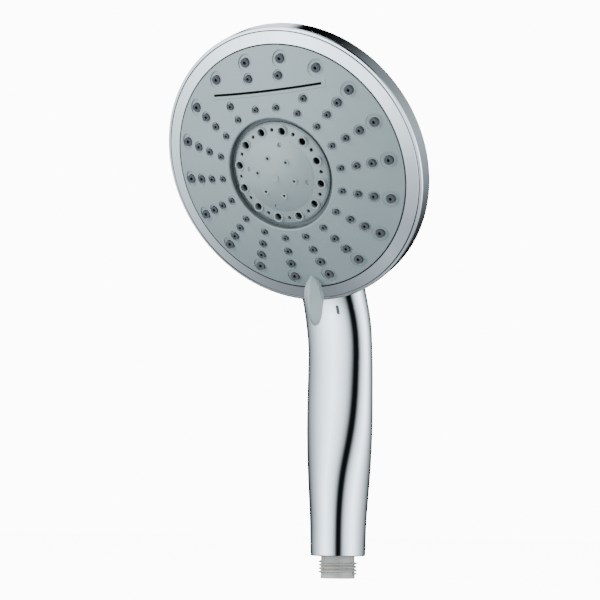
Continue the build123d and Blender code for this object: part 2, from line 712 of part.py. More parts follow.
# ---------------------------------------------------------------- waterway hub
PLENUM = (9.0, 18.0)
PLENUM_FRONT = -19.5
COVER_SEAT = -25.2
COVER_RING = (7.5, 20.0)
POCKET_FLOOR = -24.0
SEAL_POCKET = 4.1
DETENT_POCKET = 2.6
HUB_SCREW_RING = 26.0
HUB_SCREW_ANGLES = (45.0, 135.0, 225.0, 315.0)
HUB_SCREW_SEAT = -17.5
SCREW_WELL = 2.9
CENTRE_SHANK = 1.9
ORING_GROOVE = (5.3, -27.2, -25.6)
seal_place = clock(PORT_RING, 0)
detent_place = clock(DETENT_RING, DETENT_ANGLE)
tube_end_plane = Plane(origin=head_point((0, SPIGOT_END), TUBE_LINE), x_dir=(1, 0, 0), z_dir=-FACE_UP)

with BuildPart() as waterway_hub:
    with BuildSketch(level(HUB_BACK)):
        Circle(HUB_RADIUS)
    extrude(amount=HUB_FRONT - HUB_BACK)
    with BuildSketch(level(HUB_FRONT)):
        Circle(BOSS_RADIUS)
    extrude(amount=BOSS_END - HUB_FRONT)
    with BuildSketch(level(HUB_BACK)):
        Circle(PLENUM[1])
        Circle(PLENUM[0], mode=Mode.SUBTRACT)
    extrude(amount=PLENUM_FRONT - HUB_BACK, mode=Mode.SUBTRACT)
    with BuildSketch(level(HUB_BACK)):
        Circle(COVER_RING[1])
        Circle(COVER_RING[0], mode=Mode.SUBTRACT)
    extrude(amount=COVER_SEAT - HUB_BACK, mode=Mode.SUBTRACT)
    with BuildSketch(level(POCKET_FLOOR)):
        with Locations(seal_place):
            Circle(SEAL_POCKET)
        with Locations(detent_place):
            Circle(DETENT_POCKET)
    extrude(amount=HUB_FRONT - POCKET_FLOOR, mode=Mode.SUBTRACT)
    with BuildSketch(level(POCKET_FLOOR + 0.5)):
        with Locations((0, (PLENUM[0] + PORT_RING) / 2 + 2)):
            Rectangle(6.0, PORT_RING - PLENUM[0] - 4)
    extrude(amount=3.4, mode=Mode.SUBTRACT)
    with BuildSketch(tube_end_plane):
        Circle(SPIGOT_RADIUS + 0.05)
    extrude(amount=FAR, mode=Mode.SUBTRACT)
    with BuildSketch(tube_end_plane):
        Circle(SPIGOT_BORE)
    extrude(amount=-6.0, mode=Mode.SUBTRACT)
    with BuildSketch(tube_end_plane.offset(SPIGOT_END - ORING_GROOVE[2])):
        Circle(ORING_GROOVE[0])
    extrude(amount=ORING_GROOVE[2] - ORING_GROOVE[1], mode=Mode.SUBTRACT)
    with BuildSketch(level(HUB_SCREW_SEAT)):
        with Locations(*[clock(HUB_SCREW_RING, a) for a in HUB_SCREW_ANGLES]):
            Circle(SCREW_WELL)
    extrude(amount=FAR, mode=Mode.SUBTRACT)
    with BuildSketch(level(HUB_BACK)):
        with Locations(*[clock(HUB_SCREW_RING, a) for a in HUB_SCREW_ANGLES]):
            Circle(SHANK_RADIUS + 0.15)
    extrude(amount=FAR, mode=Mode.SUBTRACT)
    with BuildSketch(level(POCKET_FLOOR)):
        Circle(CENTRE_SHANK + 0.02)
    extrude(amount=FAR, mode=Mode.SUBTRACT)
save(waterway_hub.part, "waterway_hub")

with BuildPart() as hub_cover:
    with BuildSketch(level(HUB_BACK)):
        Circle(COVER_RING[1] - 0.03)
        Circle(COVER_RING[0] + 0.03, mode=Mode.SUBTRACT)
    extrude(amount=COVER_SEAT - HUB_BACK)
save(hub_cover.part, "hub_cover")

with BuildPart() as hub_screws:
    spots = [clock(HUB_SCREW_RING, a) for a in HUB_SCREW_ANGLES]
    with BuildSketch(level(HUB_SCREW_SEAT)):
        with Locations(*spots):
            Circle(HEAD_RADIUS_M3)
    extrude(amount=HEAD_HEIGHT)
    with BuildSketch(level(HUB_SCREW_SEAT)):
        with Locations(*spots):
            Circle(SHANK_RADIUS)
    extrude(amount=-11.6)
    with BuildSketch(level(HUB_SCREW_SEAT + HEAD_HEIGHT)):
        with Locations(*spots):
            Rectangle(*RECESS_SIZE)
            Rectangle(RECESS_SIZE[1], RECESS_SIZE[0])
    extrude(amount=-RECESS_DEPTH, mode=Mode.SUBTRACT)
save(hub_screws.part, "hub_screws")


# ---------------------------------------------------------------- centre screw and thrust washer
WASHER = (9.5, 0.8)
CENTRE_HEAD = (4.0, 2.2)

with BuildPart() as thrust_washer:
    with BuildSketch(level(BOSS_END)):
        Circle(WASHER[0])
        Circle(CENTRE_SHANK + 0.1, mode=Mode.SUBTRACT)
    extrude(amount=WASHER[1])
save(thrust_washer.part, "thrust_washer")

with BuildPart() as centre_screw:
    with BuildSketch(level(BOSS_END + WASHER[1])):
        Circle(CENTRE_HEAD[0])
    extrude(amount=CENTRE_HEAD[1])
    chamfer(centre_screw.faces().sort_by(face_axis)[-1].edges(), 0.6)
    with BuildSketch(level(BOSS_END + WASHER[1])):
        Circle(CENTRE_SHANK)
    extrude(amount=-11.0)
    with BuildSketch(level(BOSS_END + WASHER[1] + CENTRE_HEAD[1])):
        Rectangle(4.2, 0.8)
        Rectangle(0.8, 4.2)
    extrude(amount=-1.2, mode=Mode.SUBTRACT)
save(centre_screw.part, "centre_screw")


# ---------------------------------------------------------------- seal cup, detent plunger and their springs
SEAL_LIP = (2.2, 3.3)
SEAL_SHOULDER = -16.2
SEAL_BACK = -19.5
SEAL_BODY = 3.9
PLUNGER_NOSE = 1.5
PLUNGER_BODY = 2.5
PLUNGER_TIP = DISC_BACK - 0.1
PLUNGER_SHOULDER = -17.2
PLUNGER_BACK = -20.0


def spring(place, back, front, radius, wire):
    """A round-wire helical compression spring between two heights."""
    pitch = (front - back - 2 * wire) / 4
    with BuildPart() as coil:
        with BuildLine():
            start = head_point(place, back + wire)
            path = Helix(pitch, 4 * pitch, radius, center=start, direction=FACE_NORMAL)
        with BuildSketch(Plane(origin=path @ 0, z_dir=path % 0)):
            Circle(wire)
        sweep(is_frenet=True)
    return coil.part


with BuildPart() as seal_cup:
    with BuildSketch(level(SEAL_BACK)):
        with Locations(seal_place):
            Circle(SEAL_BODY)
    extrude(amount=SEAL_SHOULDER - SEAL_BACK)
    with BuildSketch(level(SEAL_SHOULDER)):
        with Locations(seal_place):
            Circle(SEAL_LIP[1])
    extrude(amount=DISC_BACK - 0.05 - SEAL_SHOULDER)
    with BuildSketch(level(SEAL_BACK)):
        with Locations(seal_place):
            Circle(SEAL_LIP[0])
    extrude(amount=FAR, mode=Mode.SUBTRACT)
save(seal_cup.part, "seal_cup")
save(spring(seal_place, POCKET_FLOOR + 0.02, SEAL_BACK - 0.02, 3.1, 0.35), "seal_spring")

with BuildPart() as detent_plunger:
    with BuildSketch(level(PLUNGER_BACK)):
        with Locations(detent_place):
            Circle(PLUNGER_BODY)
    extrude(amount=PLUNGER_SHOULDER - PLUNGER_BACK)
    with BuildSketch(level(PLUNGER_SHOULDER)):
        with Locations(detent_place):
            Circle(PLUNGER_NOSE)
    extrude(amount=PLUNGER_TIP - PLUNGER_NOSE - PLUNGER_SHOULDER)
    with Locations(head_point(detent_place, PLUNGER_TIP - PLUNGER_NOSE)):
        Sphere(PLUNGER_NOSE)
save(detent_plunger.part, "detent_plunger")
save(spring(detent_place, POCKET_FLOOR + 0.02, PLUNGER_BACK - 0.02, 1.9, 0.3), "detent_spring")


# ---------------------------------------------------------------- housing
HEAD_SECTIONS = [
    (-62.0, 20.0, 10.0, 14.0),
    (-45.0, 19.5, 9.5, 14.9),
    (-27.0, 16.5, 8.0, 15.0),
    (-8.0, 9.0, 5.0, 14.6),
]
SPINE_LINE = -17.6
END_WALL = 3.0
HANDLE_WALL = 2.4
BOTTOM_ROUNDING = 0.8
BACK_ROUNDING = 1.5
POST_RADIUS = 3.2
MARK_PLACE = (6.4, 144.0)
MARK_SIZE = (4.8, 1.7)
MARK_DEPTH = 0.8
INLET_HOLE = 10.6


def bend_plane(turn):
    """The plane across the handle's bent stretch, after it has turned forward by an angle."""
    forward = BEND_RADIUS * (1 - cos(radians(turn)))
    rise = BEND_RADIUS * sin(radians(turn))
    along = (0, -sin(radians(turn)), cos(radians(turn)))
    return Plane(origin=(0, -forward, BEND_START + rise), x_dir=(1, 0, 0), z_dir=along)


def handle_section(plane, width, front, back):
    """A handle section: a flatter half-ellipse in front and a rounder one behind."""
    with BuildSketch(plane) as section:
        with BuildLine():
            EllipticalCenterArc((0, 0), width, back, start_angle=0.0, arc_size=180.0)
            EllipticalCenterArc((0, 0), width, front, start_angle=180.0, arc_size=180.0)
        make_face()
    return section.sketch.faces()[0]


def handle_body(inset, last):
    """The handle's solid from its lower edge into the head, or its hollow, which is inset."""
    places = [(Plane.XY.offset(THREAD_LENGTH + rise), sizes) for rise, *sizes in HANDLE_SECTIONS]
    places += [(bend_plane(turn), NECK_SECTION) for turn in (9.0, 18.0, TILT)]
    for up, *sizes in HEAD_SECTIONS[:last]:
        plane = Plane(origin=head_point((0, up), SPINE_LINE), x_dir=(1, 0, 0), z_dir=FACE_UP)
        places.append((plane, sizes))
    with BuildPart() as body:
        loft([handle_section(plane, *[size - inset for size in sizes]) for plane, sizes in places])
    return body.part


def bowl_body(inset, front):
    """The head's round back as a solid, or its hollow, which is inset."""
    radius = HEAD_RADIUS - inset
    with BuildPart() as body:
        with BuildSketch(section_plane):
            with BuildLine():
                ThreePointArc(*[(r, bowl(r, inset)) for r in (0, radius / 2, radius)])
                Polyline((radius, bowl(radius, inset)), (radius, front), (0, front), (0, bowl(0, inset)))
            make_face()
        revolve(axis=face_axis)
    return body.part


def mark_body(margin):
    """A short upright slot-shaped piece let into the front of the handle, or its seat with a margin."""
    plane = Plane(origin=(MARK_PLACE[0], 0, MARK_PLACE[1]), x_dir=(0, 0, 1), z_dir=(0, -1, 0))
    outer = handle_body(0.0, len(HEAD_SECTIONS))
    with BuildPart() as body:
        with BuildSketch(plane):
            SlotOverall(MARK_SIZE[0] + margin, MARK_SIZE[1] + margin)
        extrude(amount=FAR)
    return (body.part & outer) - handle_body(MARK_DEPTH + margin, len(HEAD_SECTIONS) - 1)


end_wall = Pos(0, 0, THREAD_LENGTH + END_WALL / 2) * Box(4 * HUB_RADIUS, 4 * HUB_RADIUS, END_WALL)

with BuildPart() as housing_shell:
    add(bowl_body(0.0, RIM_FRONT))
    fillet(circles_between(housing_shell, HEAD_RADIUS, RIM_BACK - 1, RIM_BACK + 1), BACK_ROUNDING)
    add(handle_body(0.0, len(HEAD_SECTIONS)))
    bottom_edges = housing_shell.faces().sort_by(Axis.Z)[0].edges()
    fillet(bottom_edges, BOTTOM_ROUNDING)
    add(bowl_body(WALL, RIM_FRONT + 1.0), mode=Mode.SUBTRACT)
    add(handle_body(HANDLE_WALL, len(HEAD_SECTIONS) - 1) - end_wall, mode=Mode.SUBTRACT)
    with BuildSketch(Plane.XY):
        Circle(INLET_HOLE)
    extrude(amount=THREAD_LENGTH + END_WALL + 1.0, mode=Mode.SUBTRACT)
    with BuildSketch(level(HUB_BACK)):
        with Locations(*[clock(HUB_SCREW_RING, a) for a in HUB_SCREW_ANGLES]):
            Circle(POST_RADIUS)
    extrude(amount=-2.4)
    with BuildSketch(level(HUB_BACK)):
        with Locations(*[clock(HUB_SCREW_RING, a) for a in HUB_SCREW_ANGLES]):
            Circle(SHANK_RADIUS + 0.03)
    extrude(amount=-2.0, mode=Mode.SUBTRACT)
    add(mark_body(0.02), mode=Mode.SUBTRACT)
save(housing_shell.part, "housing_shell")
save(mark_body(0.0), "index_mark")


# ---------------------------------------------------------------- bezel ring
BEZEL_INNER = PLATE_RADIUS + RUNNING_GAP
BEZEL_EDGE = -5.2
BEZEL_SKIRT = (70.0, 72.4)
BEZEL_BACK = -11.5
BEZEL_GROOVE = (73.7, 0.3)

with BuildPart() as bezel_ring:
    with BuildSketch(section_plane):
        with BuildLine():
            Polyline(
                (BEZEL_INNER, PLATE_RIM_HEIGHT - 0.1),
                (HEAD_RADIUS - 0.5, BEZEL_EDGE),
                (HEAD_RADIUS, BEZEL_EDGE - 0.5),
                (HEAD_RADIUS, RIM_FRONT),
                (BEZEL_SKIRT[1], RIM_FRONT),
                (BEZEL_SKIRT[1], BEZEL_BACK),
                (BEZEL_SKIRT[0], BEZEL_BACK),
                (BEZEL_SKIRT[0], RIM_FRONT),
                (BEZEL_INNER, PLATE_RIM_HEIGHT - 2.2),
                close=True,
            )
        make_face()
    revolve(axis=face_axis)
    with BuildSketch(section_plane):
        slope = (BEZEL_EDGE - PLATE_RIM_HEIGHT + 0.1) / (HEAD_RADIUS - 0.5 - BEZEL_INNER)
        with Locations((BEZEL_GROOVE[0], PLATE_RIM_HEIGHT - 0.1 + slope * (BEZEL_GROOVE[0] - BEZEL_INNER))):
            Rectangle(2 * BEZEL_GROOVE[1], 2 * BEZEL_GROOVE[1], rotation=45)
    revolve(axis=face_axis, mode=Mode.SUBTRACT)
save(bezel_ring.part, "bezel_ring")


# ---------------------------------------------------------------- inlet tube
NECK_RADIUS = 10.5
COLLAR = (11.95, 4.0)
TUBE_SHOULDER = 26.0
ORING_SECTION = 0.75
ORING_SEAT = 10.6

tube_corner = FACE_Z - (TUBE_LINE - FACE_Y * cos(radians(TILT))) / sin(radians(TILT))
collar_base = THREAD_LENGTH + END_WALL
collar_middle = collar_base + COLLAR[1] / 2

with BuildPart() as thread_ridge:
    with BuildLine():
        start = (0, 0, THREAD_START)
        ridge_path = Helix(THREAD_PITCH, THREAD_RISE, THREAD_MINOR - RIDGE_SINK, center=start)
    with BuildSketch(Plane(origin=ridge_path @ 0, x_dir=(1, 0, 0), z_dir=ridge_path % 0)):
        with BuildLine():
            Polyline(
                (0, -RIDGE_FOOT),
                (RIDGE_SINK + THREAD_MAJOR - THREAD_MINOR + RIDGE_OVER, -RIDGE_POINT),
                (RIDGE_SINK + THREAD_MAJOR - THREAD_MINOR + RIDGE_OVER, RIDGE_POINT),
                (0, RIDGE_FOOT),
                close=True,
            )
        make_face()
    sweep(is_frenet=True)
    Cylinder(THREAD_MAJOR, 2 * THREAD_LENGTH, mode=Mode.INTERSECT)

with BuildPart() as inlet_tube:
    with BuildSketch(Plane.XZ):
        with BuildLine():
            Polyline(
                (INLET_BORE, 0),
                (THREAD_MINOR, 0),
                (THREAD_MINOR, THREAD_LEAD),
                (THREAD_ROOT, THREAD_LEAD),
                (THREAD_ROOT, THREAD_LENGTH - 0.2),
                (NECK_RADIUS, THREAD_LENGTH - 0.2),
                (NECK_RADIUS, collar_base),
                (COLLAR[0], collar_base),
                (COLLAR[0], collar_middle - ORING_SECTION),
                (ORING_SEAT, collar_middle - ORING_SECTION),
                (ORING_SEAT, collar_middle + ORING_SECTION),
                (COLLAR[0], collar_middle + ORING_SECTION),
                (COLLAR[0], collar_base + COLLAR[1]),
                (NECK_RADIUS, collar_base + COLLAR[1]),
                (TUBE_RADIUS, TUBE_SHOULDER),
                (TUBE_BORE, TUBE_SHOULDER),
                (TUBE_BORE, INLET_BORE_DEPTH),
                (INLET_BORE, INLET_BORE_DEPTH),
                close=True,
            )
        make_face()
    revolve(axis=Axis.Z)
    add(thread_ridge.part)
    with BuildLine() as tube_path:
        FilletPolyline(
            (0, 0, TUBE_SHOULDER),
            (0, 0, tube_corner),
            head_point((0, SPIGOT_START), TUBE_LINE),
            radius=TUBE_BEND_RADIUS,
        )
    with BuildSketch(Plane.XY.offset(TUBE_SHOULDER)):
        Circle(TUBE_RADIUS)
        Circle(TUBE_BORE, mode=Mode.SUBTRACT)
    sweep(path=tube_path.line)
    with BuildSketch(tube_end_plane):
        Circle(SPIGOT_RADIUS)
        Circle(SPIGOT_BORE, mode=Mode.SUBTRACT)
    extrude(amount=SPIGOT_END - SPIGOT_START)
save(inlet_tube.part, "inlet_tube")


# ---------------------------------------------------------------- sealing rings, filter and flow regulator
def sealing_ring(plane, inner, outer):
    """A round-section ring between an inner and an outer radius."""
    section = (outer - inner) / 2
    with BuildPart() as ring:
        with BuildSketch(Plane(origin=plane.origin, x_dir=plane.x_dir, z_dir=plane.y_dir)):
            with Locations((inner + section, 0)):
                Circle(section)
        revolve(axis=Axis(plane.origin, plane.z_dir))
    return ring.part


oring_inner = ORING_SEAT + 0.02
collar_oring = sealing_ring(Plane.XY.offset(collar_middle), oring_inner, oring_inner + 2 * 0.72)
save(collar_oring, "collar_oring")
spigot_seal_plane = tube_end_plane.offset(SPIGOT_END - (ORING_GROOVE[1] + ORING_GROOVE[2]) / 2)
save(sealing_ring(spigot_seal_plane, SPIGOT_RADIUS + 0.02, ORING_GROOVE[0] - 0.02), "spigot_oring")

FILTER_RADIUS = 6.9
FILTER_BACK = 2.6
FILTER_RIM = 1.2
REGULATOR = (6.9, 3.2, 6.4)
REGULATOR_PORTS = 8

with BuildPart() as filter_screen:
    with BuildSketch(Plane.XY.offset(0.6)):
        Circle(FILTER_RADIUS)
    extrude(amount=FILTER_BACK - 0.6)
    with BuildSketch(Plane.XY.offset(0.6)):
        Circle(FILTER_RADIUS - FILTER_RIM)
    extrude(amount=FILTER_BACK - 1.1, mode=Mode.SUBTRACT)
    with BuildSketch(Plane.XY):
        with GridLocations(1.4, 1.4, 6, 6):
            Rectangle(0.9, 0.9)
    extrude(amount=FILTER_BACK, mode=Mode.SUBTRACT)
save(filter_screen.part, "filter_screen")

with BuildPart() as flow_regulator:
    with BuildSketch(Plane.XY.offset(REGULATOR[1])):
        Circle(REGULATOR[0])
        with PolarLocations(3.6, REGULATOR_PORTS):
            Circle(0.9, mode=Mode.SUBTRACT)
    extrude(amount=REGULATOR[2] - REGULATOR[1])
save(flow_regulator.part, "flow_regulator")
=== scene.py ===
"""Looks for the handheld shower head: materials, chrome skin, studio and camera."""
import json
from math import radians, sin, cos

import bmesh
import bpy
import numpy as np
from mathutils import Matrix, Vector


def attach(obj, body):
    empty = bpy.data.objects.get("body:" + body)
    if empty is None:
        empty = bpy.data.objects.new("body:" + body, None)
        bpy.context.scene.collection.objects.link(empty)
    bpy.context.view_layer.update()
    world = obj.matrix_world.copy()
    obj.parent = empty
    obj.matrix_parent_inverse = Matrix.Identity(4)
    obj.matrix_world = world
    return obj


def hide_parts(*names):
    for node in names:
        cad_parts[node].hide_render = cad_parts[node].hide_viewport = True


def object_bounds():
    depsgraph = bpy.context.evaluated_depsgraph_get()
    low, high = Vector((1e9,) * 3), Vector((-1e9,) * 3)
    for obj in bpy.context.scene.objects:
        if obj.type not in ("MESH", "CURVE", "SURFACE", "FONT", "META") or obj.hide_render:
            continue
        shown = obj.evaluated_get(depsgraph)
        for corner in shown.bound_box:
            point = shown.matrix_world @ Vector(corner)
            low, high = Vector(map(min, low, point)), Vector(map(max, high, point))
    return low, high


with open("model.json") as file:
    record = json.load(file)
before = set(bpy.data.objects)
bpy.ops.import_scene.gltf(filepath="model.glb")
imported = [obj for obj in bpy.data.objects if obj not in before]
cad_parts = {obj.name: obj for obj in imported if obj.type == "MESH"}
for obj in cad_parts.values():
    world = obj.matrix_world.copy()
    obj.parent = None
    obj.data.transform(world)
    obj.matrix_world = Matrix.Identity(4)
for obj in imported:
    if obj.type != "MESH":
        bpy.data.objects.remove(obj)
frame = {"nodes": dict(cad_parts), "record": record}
nodes = frame["nodes"]
cad_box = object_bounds()

CAMERA_PLACE = Vector((0.5238, -0.9326, 0.0272))
CAMERA_RIGHT = Vector((0.86221, 0.50637, 0.01353))
CAMERA_UP = Vector((0.04661, -0.10590, 0.99328))
CAMERA_LENS = 117.8
CAMERA_AZIMUTH = radians(30.5)
CAMERA_SENSOR = 36.0
LIGHT_AIM = Vector((0, -0.03, 0.17))

# the tent's brightness at angles in degrees from the camera's side
TENT_AROUND = [
    (0, 0.008), (6, 0.01), (9, 0.085), (12, 0.25), (20, 0.96), (28, 1.83), (36, 2.45), (55, 3.7),
    (72, 2.8), (82, 2.07), (93, 1.44), (105, 0.94), (119, 0.58), (137, 0.19), (150, 0.045), (165, 0.008),
]
# and from straight down (0) to straight up (1)
TENT_UPWARDS = [(0, 0.12), (0.05, 0.17), (0.085, 0.23), (0.155, 0.5), (0.225, 0.9), (0.275, 1.1),
                (0.36, 1.08), (0.65, 1.0), (0.82, 0.55), (1, 0.5)]
TENT_GAIN = 1.12
# the boxes behind and overhead: soft edges round from the camera's side and up the height
BOX_ROUND = (0.66, 0.80)
BOX_FOOT = (0.36, 0.46)
BOX_HEAD = (0.68, 0.76)
OVERHEAD = (0.90, 0.95)
BOX_GLOW = 1.9
TENT_TINT = (0.79, 0.91, 1.0, 1)
BACKDROP_GLOW = 12.0
FLOOR_GLOW = 10.5
FLOOR_HALF = 4.0
FLOOR_DROP = 0.0002

# the spray face: its centre in millimetres, its tilt and its own directions
HEAD_CENTRE = Vector((0, -59.16, 213.85))
TILT = radians(27.2)
FACE_NORMAL = Vector((0, -cos(TILT), -sin(TILT)))
FACE_UP = Vector((0, -sin(TILT), cos(TILT)))

# what the face's materials shade, in millimetres; pairs are where a soft edge starts and ends
SLIT_UP = 44.3
SLIT_HALF = 32.5
SLIT_GAP = (0.50, 0.78)
SLIT_LAND = (1.9, 2.3)
RECESS_RADIUS = 30.26
RECESS_DEEP = (8.6, 10.4)
PLATE_RADIUS = 67.05
PLATE_EDGE = (-2.6, -2.3)
GROOVE_RADIUS = 73.7
GROOVE_WIDTH = (0.22, 0.42)
GROOVE_FRONT = (-6.4, -6.0)
INSERT_RADIUS = 26.2
# the insert's surface: its crown's height and curve, and its flange's height and slope
INSERT_CROWN, INSERT_CURVE = 13.9, 0.013125
INSERT_FLANGE, INSERT_SLOPE = 13.44, 0.252

# plastics: scales of the mottle, the uneven sheen and the surface grain
MOTTLE = 60
SHEEN = 220
GRAIN = 2600
GRAIN_DEPTH = 0.00002


# ---- materials ------------------------------------------------------------

def start_material(name):
    mat = bpy.data.materials.new(name)
    mat.use_nodes = True
    tree = mat.node_tree
    tree.nodes.clear()
    out = tree.nodes.new("ShaderNodeOutputMaterial")
    shader = tree.nodes.new("ShaderNodeBsdfPrincipled")
    tree.links.new(shader.outputs["BSDF"], out.inputs["Surface"])
    return mat, tree, shader


def noise(tree, scale, detail=3.0):
    """Noise in the object's own space, so it stays on the part in every view."""
    place = tree.nodes.new("ShaderNodeTexCoord")
    tex = tree.nodes.new("ShaderNodeTexNoise")
    tex.inputs["Scale"].default_value = scale
    tex.inputs["Detail"].default_value = detail
    tree.links.new(place.outputs["Object"], tex.inputs["Vector"])
    return tex.outputs["Fac"]


def map_range(tree, value, start, end, low, high, shape):
    """Maps a value from start..end to low..high."""
    node = tree.nodes.new("ShaderNodeMapRange")
    node.interpolation_type = shape
    for key, number in zip(("From Min", "From Max", "To Min", "To Max"), (start, end, low, high)):
        node.inputs[key].default_value = number
    tree.links.new(value, node.inputs["Value"])
    return node.outputs["Result"]


def fade_in(tree, value, start, end):
    return map_range(tree, value, start, end, 0.0, 1.0, "SMOOTHSTEP")


def fade_out(tree, value, start, end):
    return map_range(tree, value, start, end, 1.0, 0.0, "SMOOTHSTEP")


def uneven(tree, scale, low, high, detail=3.0):
    """A value that wanders between two ends over the surface."""
    return map_range(tree, noise(tree, scale, detail), 0.3, 0.7, low, high, "LINEAR")


def colour_between(tree, value, first, second):
    ramp = tree.nodes.new("ShaderNodeValToRGB")
    ramp.color_ramp.elements[0].position = 0.3
    ramp.color_ramp.elements[0].color = (*first, 1)
    ramp.color_ramp.elements[1].position = 0.7
    ramp.color_ramp.elements[1].color = (*second, 1)
    tree.links.new(value, ramp.inputs["Fac"])
    return ramp.outputs["Color"]


def bump(tree, shader, value, strength, depth):
    node = tree.nodes.new("ShaderNodeBump")
    node.inputs["Strength"].default_value = strength
    node.inputs["Distance"].default_value = depth
    tree.links.new(value, node.inputs["Height"])
    tree.links.new(node.outputs["Normal"], shader.inputs["Normal"])


def math_node(tree, kind, first, second=None):
    node = tree.nodes.new("ShaderNodeMath")
    node.operation = kind
    for socket, value in zip(node.inputs, (first, second)):
        if isinstance(value, (int, float)):
            socket.default_value = value
        elif value is not None:
            tree.links.new(value, socket)
    return node.outputs[0]


def product(tree, *values):
    result = values[0]
    for value in values[1:]:
        result = math_node(tree, "MULTIPLY", result, value)
    return result


def distance(tree, value, place):
    """How far a value is from a fixed place, either way."""
    return math_node(tree, "ABSOLUTE", math_node(tree, "SUBTRACT", value, place))


def head_coordinates(tree):
    """Sideways, upwards and forward place on the spray head, in millimetres."""
    place = tree.nodes.new("ShaderNodeTexCoord")
    out = []
    for direction in (Vector((1, 0, 0)), FACE_UP, FACE_NORMAL):
        dot = tree.nodes.new("ShaderNodeVectorMath")
        dot.operation = "DOT_PRODUCT"
        dot.inputs[1].default_value = direction * 1000
        tree.links.new(place.outputs["Object"], dot.inputs[0])
        out.append(math_node(tree, "SUBTRACT", dot.outputs["Value"], HEAD_CENTRE.dot(direction)))
    across, up, forward = out
    squares = [math_node(tree, "MULTIPLY", value, value) for value in (across, up)]
    return across, up, forward, math_node(tree, "SQRT", math_node(tree, "ADD", *squares))


def shaded(tree, body, amount, shade):
    """The body's colour, with a painted dark shade over it where amount is above 0."""
    mix = tree.nodes.new("ShaderNodeMix")
    mix.data_type = "RGBA"
    first, second = mix.inputs[6:8]
    tree.links.new(amount, mix.inputs["Factor"])
    tree.links.new(body, first)
    second.default_value = (*shade, 1)
    return mix.outputs[2]


def face_plastic(name, light, dark, rough):
    """Satin plastic of the spray face, with painted shade in its slit, its recess and the running gap, and
    a raised land round the slit.
    """
    mat, tree, shader = start_material(name)
    across, up, forward, radius = head_coordinates(tree)
    from_slit = distance(tree, up, SLIT_UP)
    sideways = math_node(tree, "ABSOLUTE", across)
    # gap, cove and rim mask painted shade: in the slit, in the recess round the insert and in the running
    # gap at the plate's edge
    gap = product(tree, fade_out(tree, from_slit, *SLIT_GAP),
                  fade_out(tree, sideways, SLIT_HALF - 0.1, SLIT_HALF + 0.25))
    land = product(tree, fade_out(tree, from_slit, *SLIT_LAND),
                   fade_out(tree, sideways, SLIT_HALF + 2.0, SLIT_HALF + 2.6))
    cove = product(tree, fade_out(tree, radius, RECESS_RADIUS - 0.1, RECESS_RADIUS + 0.5),
                   fade_out(tree, forward, *RECESS_DEEP))
    rim = product(tree, fade_in(tree, radius, PLATE_RADIUS - 0.55, PLATE_RADIUS - 0.3),
                  fade_out(tree, forward, *PLATE_EDGE))
    painted_shade = math_node(tree, "MAXIMUM", product(tree, gap, 0.985), product(tree, cove, 0.62))
    painted_shade = math_node(tree, "MAXIMUM", painted_shade, product(tree, rim, 0.93))
    body = colour_between(tree, noise(tree, MOTTLE), light, dark)
    tree.links.new(shaded(tree, body, painted_shade, (0.004, 0.0045, 0.005)), shader.inputs["Base Color"])
    tree.links.new(uneven(tree, SHEEN, rough - 0.04, rough + 0.05), shader.inputs["Roughness"])
    relief = math_node(tree, "ADD", product(tree, land, 6.0), product(tree, noise(tree, GRAIN, 2.0), 0.5))
    bump(tree, shader, relief, 0.5, 0.00006)
    return mat


def insert_plastic(name, light, dark, rough):
    """Plastic of the centre insert, whose bores and dimples lie in their own shade."""
    mat, tree, shader = start_material(name)
    _, _, forward, radius = head_coordinates(tree)
    crown = math_node(tree, "SUBTRACT", INSERT_CROWN, product(tree, radius, radius, INSERT_CURVE))
    flange = math_node(tree, "SUBTRACT", INSERT_FLANGE, product(tree, radius, INSERT_SLOPE))
    surface = math_node(tree, "MINIMUM", crown, flange)
    depth = math_node(tree, "SUBTRACT", surface, forward)
    inside = product(tree, fade_in(tree, depth, 0.3, 0.9),
                     fade_out(tree, radius, INSERT_RADIUS, INSERT_RADIUS + 0.3))
    body = colour_between(tree, noise(tree, MOTTLE), light, dark)
    shade = shaded(tree, body, product(tree, inside, 0.93), (0.012, 0.012, 0.011))
    tree.links.new(shade, shader.inputs["Base Color"])
    tree.links.new(uneven(tree, SHEEN, rough - 0.04, rough + 0.05), shader.inputs["Roughness"])
    bump(tree, shader, noise(tree, GRAIN, 2.0), 0.12, GRAIN_DEPTH)
    return mat


def plastic(name, light, dark, rough, metal=0.0):
    """Moulded or bare metal: two close tones in a soft mottle, uneven sheen and a fine surface grain."""
    mat, tree, shader = start_material(name)
    tree.links.new(colour_between(tree, noise(tree, MOTTLE), light, dark), shader.inputs["Base Color"])
    tree.links.new(uneven(tree, SHEEN, rough - 0.04, rough + 0.05), shader.inputs["Roughness"])
    shader.inputs["Metallic"].default_value = metal
    bump(tree, shader, noise(tree, GRAIN, 2.0), 0.12, GRAIN_DEPTH)
    return mat


def groove_shade(tree, tone):
    """The bezel's tone, with the shade that sits in its fine turned groove."""
    _, _, forward, radius = head_coordinates(tree)
    from_groove = distance(tree, radius, GROOVE_RADIUS)
    line = product(tree, fade_out(tree, from_groove, *GROOVE_WIDTH), fade_in(tree, forward, *GROOVE_FRONT))
    return shaded(tree, tone, product(tree, line, 0.8), (0.05, 0.053, 0.056))


def chrome(name, grooved=False):
    """Bright plating: a mirror with a faint uneven haze."""
    mat, tree, shader = start_material(name)
    shader.inputs["Metallic"].default_value = 1.0
    tone = colour_between(tree, noise(tree, 25), (0.80, 0.81, 0.825), (0.83, 0.84, 0.85))
    tone = groove_shade(tree, tone) if grooved else tone
    tree.links.new(tone, shader.inputs["Base Color"])
    tree.links.new(uneven(tree, 90, 0.022, 0.05, 4.0), shader.inputs["Roughness"])
    return mat


